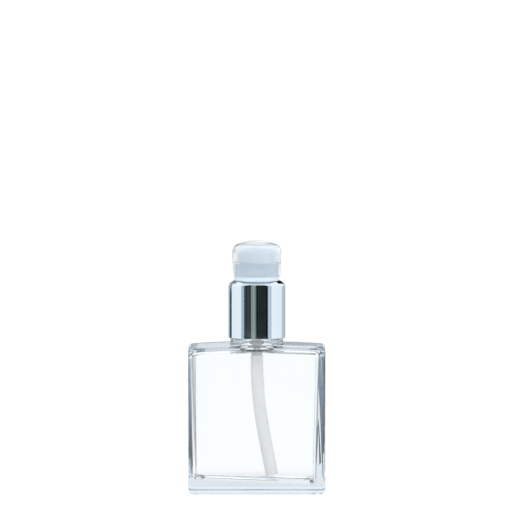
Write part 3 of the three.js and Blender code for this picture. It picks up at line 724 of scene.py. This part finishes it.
dress(closure, natural_polypropylene("closure_polypropylene", "#d0dfec", 0.05, 0.3), "closure",
      "closure_plastic", "screw_closure")


# ---- Collar shell ----
# Thin aluminium drawn into a cup, its top coned in to a hole for the sleeve, then polished, nickelled and
# bright chromed. It is pressed over the closure's ribs for good.
shell_foot, shell_top, shell = shell_low.z / mm, shell_high.z / mm, shell_high.x / mm
shell_wall, cone_width, cone_height = 0.5, 2.3, 1.7
hole = shell - cone_width
cone_start = shell_top - cone_height
chromed = turned("chromed_shell", [
    (shell - shell_wall, (shell_foot + shell_top) / 2), (shell - shell_wall, shell_foot, 0.1),
    (shell, shell_foot, 0.15), (shell, cone_start + 0.1, 1.3), (hole, shell_top, 0.12),
    (hole, shell_top - 0.62, 0.1), (shell - shell_wall, cone_start - 0.4, 0.3),
    (shell - shell_wall, (shell_foot + shell_top) / 2),
], sides=192)
smooth(chromed, 40)


# Bright chrome plate on polished aluminium: a mirror with a cool cast. The polishing mop leaves a slow
# ripple along the wall and a haze of hairlines, drawn 0.15 mm apart, and fingers leave a thin film.
def bright_chrome():
    material = new_material("bright_chrome_plate")
    place = add(material, "ShaderNodeTexCoord").outputs["Object"]
    ripple = add(material, "ShaderNodeTexNoise", {"Vector": place, "Scale": 1 / (9 * mm), "Detail": 1.0})
    hairlines = add(material, "ShaderNodeTexNoise", {"Vector": place, "Scale": 1 / (0.15 * mm), "Detail": 3.0})
    heights = add(material, "ShaderNodeMath", {0: ripple.outputs["Fac"], 1: 1.0, 2: hairlines.outputs["Fac"]},
                  operation="MULTIPLY_ADD")
    bump = add(material, "ShaderNodeBump", {"Height": heights.outputs["Value"], "Strength": 0.12,
                                            "Distance": 0.02 * mm})
    film = add(material, "ShaderNodeTexNoise", {"Vector": place, "Scale": 1 / (3 * mm), "Detail": 4.0})
    dull = add(material, "ShaderNodeMapRange", {"Value": film.outputs["Fac"], "From Min": 0.45, "From Max": 0.75,
                                                "To Min": 0.03, "To Max": 0.075})
    shader = add(material, "ShaderNodeBsdfPrincipled", {
        "Base Color": linear("#dbe7f1"), "Metallic": 1.0, "Roughness": dull.outputs["Result"],
        "Normal": bump.outputs["Normal"]})
    add(material, "ShaderNodeOutputMaterial", {"Surface": shader.outputs["BSDF"]})
    return material


dress(chromed, bright_chrome(), "closure", "collar_chrome", "collar_shell")


# ---- Actuator button ----
# White polypropylene, moulded hollow: a domed top, a thin skirt inside the sleeve, and a socket for the stem.
# A riser and a cross channel lead to a boss at the front, which takes the nozzle.
button_low, button_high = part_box("actuator_button")
button, button_foot, button_top = button_high.x / mm, button_low.z / mm, button_high.z / mm
socket, socket_bore, button_wall = 3.4, stem + slide_gap, 1.0
socket_foot = button_foot + 1.2
button_hollow = button_top - 2.8
button_crown = button * 2.2
nozzle_low, nozzle_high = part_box("nozzle_insert")
nozzle_height = (nozzle_low.z + nozzle_high.z) / 2 / mm
nozzle_front, nozzle_back = nozzle_low.y / mm, nozzle_high.y / mm
nozzle = nozzle_high.x / mm
channel = 0.9


def dome(radius, top, crown_radius, edge, count=16):
    """A domed top from its rim to the middle: a rounded edge that runs into a shallow sphere."""
    centre_height = top - crown_radius
    edge_reach = radius - edge
    edge_height = centre_height + math.sqrt((crown_radius - edge) ** 2 - edge_reach ** 2)
    meet = math.acos(edge_reach / (crown_radius - edge))
    points = []
    for i in range(9):
        angle = meet * i / 8
        points.append((edge_reach + edge * math.cos(angle), edge_height + edge * math.sin(angle)))
    for i in range(1, count + 1):
        angle = meet + (math.pi / 2 - meet) * i / count
        points.append((crown_radius * math.cos(angle), centre_height + crown_radius * math.sin(angle)))
    points[-1] = (0, top)
    return points


def front_rod(name, radius, back, front, height):
    """A round rod along the front-to-back line, for the outlet's boss and bores."""
    bpy.ops.object.select_all(action="DESELECT")
    bpy.ops.mesh.primitive_cylinder_add(
        vertices=64, radius=radius * mm, depth=(back - front) * mm,
        location=Vector((0, (back + front) / 2, height)) * mm, rotation=(math.pi / 2, 0, 0))
    piece = bpy.context.object
    piece.name = name
    return piece


push_button = turned("push_button", [
    (0, nozzle_height), (channel, nozzle_height), (channel, stem_top), (socket_bore, stem_top),
    (socket_bore, socket_foot, 0.2), (socket, socket_foot, 0.2), (socket, button_hollow, 0.3),
    (button - button_wall, button_hollow, 0.4), (button - button_wall, button_foot, 0.15),
    (button, button_foot, 0.25), *dome(button, button_top, button_crown, 1.2),
], steps=4)
combine(push_button, front_rod("boss", 1.45, 0, nozzle_front + 0.3, nozzle_height), "UNION")
combine(push_button, front_rod("channel", channel, 0.1, nozzle_front + 1, nozzle_height), "DIFFERENCE")
combine(push_button, front_rod("pocket", nozzle + 0.05, nozzle_back, nozzle_front - 1, nozzle_height),
        "DIFFERENCE")
smooth(push_button)
# Painted shade: the button is white polypropylene, and its tint #dbe8ef is set darker and bluer than the stem's for
# the dim light under the hood.
dress(push_button, white_polypropylene("button_polypropylene_painted_shade", "#dbe8ef", 0.3), "actuator",
      "button_plastic", "actuator_button")


# ---- Nozzle insert ----
# A small turned-in orifice of white acetal, pressed into the button's pocket, flush but for a lip.
tip = turned("nozzle_tip", [
    (channel - 0.1, 1), (channel - 0.1, 0), (nozzle, 0, 0.1), (nozzle, nozzle_back - nozzle_front, 0.2),
    (0.45, nozzle_back - nozzle_front, 0.12), (0.45, nozzle_back - nozzle_front - 0.8),
    (channel - 0.1, nozzle_back - nozzle_front - 1.2), (channel - 0.1, 1),
], sides=64, steps=4)
bpy.ops.object.mode_set(mode="EDIT")
bpy.ops.mesh.select_all(action="SELECT")
bpy.ops.transform.rotate(value=-math.pi / 2, orient_axis="X", center_override=(0, 0, 0))
bpy.ops.transform.translate(value=(0, nozzle_back * mm, nozzle_height * mm))
close_up(tip)
smooth(tip)
dress(tip, white_polypropylene("white_acetal", "#ffffff", 0.22), "actuator", "nozzle_plastic", "nozzle_insert")


# ---- Overcap hood ----
# Clarified polypropylene, moulded as a dome on a thinner skirt. The skirt slides over the sleeve and a step
# inside stops on its rim.
hood_low, hood_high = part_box("overcap_hood")
hood, hood_foot, hood_top = hood_high.x / mm, hood_low.z / mm, hood_high.z / mm
hood_wall, hood_skirt = 1.1, sleeve + 0.65
hood_skirt_inner = sleeve + 0.15
hood_crown = hood * 2.4
cavity = dome(hood - hood_wall, hood_top - hood_wall, hood_crown - hood_wall, 2.9)
domed_hood = turned("domed_hood", [
    *reversed(cavity), (hood - hood_wall, sleeve_top), (hood_skirt_inner, sleeve_top),
    (hood_skirt_inner, hood_foot + 0.2), (hood_skirt_inner + 0.15, hood_foot), (hood_skirt - 0.15, hood_foot),
    (hood_skirt, hood_foot + 0.15), (hood_skirt, sleeve_top - 0.05), (hood, sleeve_top + 0.2),
    *dome(hood, hood_top, hood_crown, 4.0),
], sides=160, steps=4)
smooth(domed_hood)


# Clarified polypropylene: nearly clear but hazy, with a gloss off a polished mould, fine haze that scatters
# what is behind it, and light rub marks.
def clarified_polypropylene():
    material = new_material("clarified_polypropylene")
    place = add(material, "ShaderNodeTexCoord").outputs["Object"]
    haze = add(material, "ShaderNodeTexNoise", {"Vector": place, "Scale": 1 / (2.5 * mm), "Detail": 4.0})
    waves = add(material, "ShaderNodeTexNoise", {"Vector": place, "Scale": 1 / (5 * mm), "Detail": 2.0})
    bump = add(material, "ShaderNodeBump", {"Height": waves.outputs["Fac"], "Strength": 0.2,
                                            "Distance": 0.04 * mm})
    dull = add(material, "ShaderNodeMapRange", {"Value": haze.outputs["Fac"], "From Min": 0.3, "From Max": 0.7,
                                                "To Min": 0.09, "To Max": 0.14})
    shader = add(material, "ShaderNodeBsdfPrincipled", {
        "Base Color": linear("#f6fbff"), "Roughness": dull.outputs["Result"], "IOR": 1.5,
        "Transmission Weight": 0.85, "Subsurface Weight": 0.6, "Subsurface Radius": (0.002, 0.002, 0.002),
        "Subsurface Scale": 1.0, "Normal": bump.outputs["Normal"]})
    add(material, "ShaderNodeOutputMaterial", {"Surface": shader.outputs["BSDF"]})
    return material


dress(domed_hood, clarified_polypropylene(), "hood", "hood_plastic", "overcap_hood")


# ---- Photographer's table ----
# A wide white table under an even white sky, so that the bottle stands in plain bright light.
scene = bpy.context.scene
scene.view_settings.view_transform = "Standard"
scene.cycles.max_bounces = 24
scene.cycles.transmission_bounces = 24
scene.cycles.glossy_bounces = 12
scene.cycles.diffuse_bounces = 12
scene.cycles.use_denoising = True
bpy.ops.object.select_all(action="DESELECT")
bpy.ops.mesh.primitive_plane_add(size=9, location=(0, 0, 0))
table = bpy.context.object
table.name = "table_top"
bpy.ops.object.mode_set(mode="EDIT")
bpy.ops.mesh.subdivide(number_cuts=4)
bpy.ops.object.mode_set(mode="OBJECT")
paper = new_material("white_seamless_paper")
place = add(paper, "ShaderNodeTexCoord").outputs["Object"]
fibres = add(paper, "ShaderNodeTexNoise", {"Vector": place, "Scale": 1 / (1.5 * mm), "Detail": 3.0})
shade = add(paper, "ShaderNodeMix", {"Factor": fibres.outputs["Fac"], "A": linear("#fefefe"),
                                     "B": linear("#fcfcfc")}, data_type="RGBA")
matt = add(paper, "ShaderNodeBsdfDiffuse", {"Color": shade.outputs["Result"]})
lit = add(paper, "ShaderNodeEmission", {"Color": linear("#ffffff"), "Strength": 1.0})
under_lit = add(paper, "ShaderNodeMixShader", {0: 0.85, 1: matt.outputs["BSDF"], 2: lit.outputs["Emission"]})
add(paper, "ShaderNodeOutputMaterial", {"Surface": under_lit.outputs["Shader"]})
table.data.materials.append(paper)

sky = bpy.data.worlds.new("white_sky")
sky.use_nodes = True
sky.node_tree.nodes["Background"].inputs["Color"].default_value = linear("#ffffff")
sky.node_tree.nodes["Background"].inputs["Strength"].default_value = 1.12
scene.world = sky


for name, place, power in (("softbox_left", (-0.7, -1.1, 1.0), 9.5), ("softbox_right", (0.9, -1.0, 0.8), 9.5)):
    lamp = bpy.data.lights.new(name, "AREA")
    lamp.shape, lamp.size, lamp.size_y = "RECTANGLE", 1.3, 1.3
    lamp.energy = power
    lamp.color = (0.97, 0.985, 1.0)
    softbox = bpy.data.objects.new(name, lamp)
    scene.collection.objects.link(softbox)
    softbox.location = place
    softbox.rotation_euler = (Vector((0, 0, 0.08)) - Vector(place)).to_track_quat("-Z", "Y").to_euler()
    softbox.visible_glossy = False
    softbox.visible_camera = False


# ---- Flags and strips ----
# Black, grey and white boards stand round the bottle, as in glass photography. They give the chrome its dark
# bands and the glass its dark edges. Only mirror reflections or clear glass see them.
def board(name, dark, light=None, fade=None):
    """A board's face: even, faded from its foot to its head, or streaked by folds in its cloth 40 mm apart."""
    material = new_material(name + "_cloth")
    if light is None:
        glow = add(material, "ShaderNodeEmission", {"Color": linear(dark), "Strength": 1.0})
    elif fade:
        place = add(material, "ShaderNodeTexCoord").outputs["Object"]
        height = add(material, "ShaderNodeSeparateXYZ", {"Vector": place}).outputs["Z"]
        share = add(material, "ShaderNodeMapRange", {"Value": height, "From Min": fade[0], "From Max": fade[1]})
        shade = add(material, "ShaderNodeMix", {"Factor": share.outputs["Result"], "A": linear(dark),
                                                "B": linear(light)}, data_type="RGBA")
        card_glow = add(material, "ShaderNodeEmission", {"Color": shade.outputs["Result"], "Strength": 1.0})
        # Light that goes straight through the glass misses the card. Only light that has turned in it is dimmed.
        turned_light = add(material, "ShaderNodeLightPath").outputs["Glossy Depth"]
        bare = add(material, "ShaderNodeBsdfTransparent")
        glow = add(material, "ShaderNodeMixShader", {0: turned_light, 1: bare.outputs["BSDF"],
                                                     2: card_glow.outputs["Emission"]})
    else:
        place = add(material, "ShaderNodeTexCoord").outputs["Object"]
        upright = add(material, "ShaderNodeMapping", {"Vector": place, "Scale": (1, 1, 0.03)})
        folds = add(material, "ShaderNodeTexNoise", {"Vector": upright.outputs["Vector"], "Scale": 1 / (40 * mm),
                                                     "Detail": 2.0})
        share = add(material, "ShaderNodeMapRange", {"Value": folds.outputs["Fac"], "From Min": 0.35,
                                                     "From Max": 0.68})
        shade = add(material, "ShaderNodeMix", {"Factor": share.outputs["Result"], "A": linear(dark),
                                                "B": linear(light)}, data_type="RGBA")
        glow = add(material, "ShaderNodeEmission", {"Color": shade.outputs["Result"], "Strength": 1.0})
    add(material, "ShaderNodeOutputMaterial", {"Surface": glow.outputs[0]})
    return material


def card(name, start, end, low, high, distance, dark, light=None, glass=False):
    """A curved card from one bearing to another in degrees, 0 at the front and rising to the right.

    Its distance from the bottle's axis is given at the foot and at the head."""
    bpy.ops.object.select_all(action="DESELECT")
    bpy.ops.mesh.primitive_plane_add(size=mm, location=(0, 0, 0))
    made = bpy.context.object
    made.name = name
    bpy.ops.object.mode_set(mode="EDIT")
    bpy.ops.mesh.select_mode(type="VERT")
    bpy.ops.mesh.merge(type="CENTER")
    way = Vector((math.sin(math.radians(start)), -math.cos(math.radians(start)), 0))
    foot, head = way * distance[0] + Vector((0, 0, low)), way * distance[1] + Vector((0, 0, high))
    bpy.ops.transform.translate(value=foot)
    bpy.ops.mesh.extrude_region_move(TRANSFORM_OT_translate={"value": head - foot})
    bpy.ops.mesh.select_all(action="SELECT")
    steps = max(2, round((end - start) / 3))
    bpy.ops.mesh.spin(steps=steps, angle=math.radians(start - end), center=(0, 0, 0), axis=(0, 0, 1))
    bpy.ops.object.mode_set(mode="OBJECT")
    made.data.materials.append(board(name, dark, light, (low, high) if glass else None))
    made.visible_camera = False
    made.visible_diffuse = False
    made.visible_shadow = False
    made.visible_volume_scatter = False
    made.visible_glossy = not glass
    made.visible_transmission = glass


card("flag_left", -53, -22, 0.026, 1.0, (0.46, 0.46), "#12181b", "#5b6562")
card("strip_middle", -24, -3, 0.024, 1.0, (0.5, 0.5), "#6b7472", "#c6cabf")
card("flag_right", -3, 46, 0.025, 1.0, (0.48, 0.48), "#0b1013", "#3c4543")
card("grey_left", -66, -53, 0.025, 0.6, (0.5, 0.5), "#bccbd8")
card("grey_right", 46, 62, 0.025, 0.6, (0.5, 0.5), "#ccd9e2")
card("flag_rear_left", -139, -123, -0.02, 0.06, (0.46, 0.46), "#0f2028")
card("flag_high_left", -139, -123, 0.08, 0.3, (0.46, 0.46), "#0f2028")
card("panel_rear_left", -180, -139, -0.02, 0.06, (0.47, 0.47), "#b0c0ca")
card("panel_rear_right", 122, 150, -0.02, 0.06, (0.47, 0.47), "#c9d5dd")
card("edge_rear_right", 150, 180, -0.02, 0.06, (0.46, 0.46), "#9dacb6")
card("flag_high_right", 150, 174, 0.165, 0.42, (0.45, 0.45), "#0a0d0f")
card("panel_high_left", -174, -150, 0.165, 0.42, (0.45, 0.45), "#84929b")
card("panel_above_left", -180, -139, 0.077, 0.14, (0.47, 0.47), "#c3ced6")
card("panel_above_right", 139, 180, 0.077, 0.14, (0.47, 0.47), "#c9d3da")
card("glass_flag_left", -170, -90, -0.001, 0.055, (0.13, 0.13), "#0c1820", "#b9c6d0", glass=True)
card("glass_flag_right", 90, 170, -0.001, 0.06, (0.13, 0.13), "#152531", "#a9b8c4", glass=True)
card("glass_foot_left", -140, -90, 0.0002, 0.05, (0.045, 0.13), "#0c1820", "#b9c6d0", glass=True)
card("glass_foot_right", 90, 140, 0.0002, 0.05, (0.045, 0.13), "#2b3d48", "#c3ced7", glass=True)


# ---- Camera ----
# A long lens a little above the neck, looking down by about three degrees.
eye = bpy.data.cameras.new("camera")
camera = bpy.data.objects.new("camera", eye)
scene.collection.objects.link(camera)
scene.camera = camera
tilt, reach, frame_height = math.radians(3.25), 2.5, 0.21632
aim = Vector((-0.34, 0, 99.9)) * mm
camera.location = aim + Vector((0, -math.cos(tilt), math.sin(tilt))) * reach
camera.rotation_euler = (math.pi / 2 - tilt, 0, 0)
eye.sensor_width = 36
eye.lens = 36 * reach / frame_height
eye.clip_start, eye.clip_end = 0.1, 20
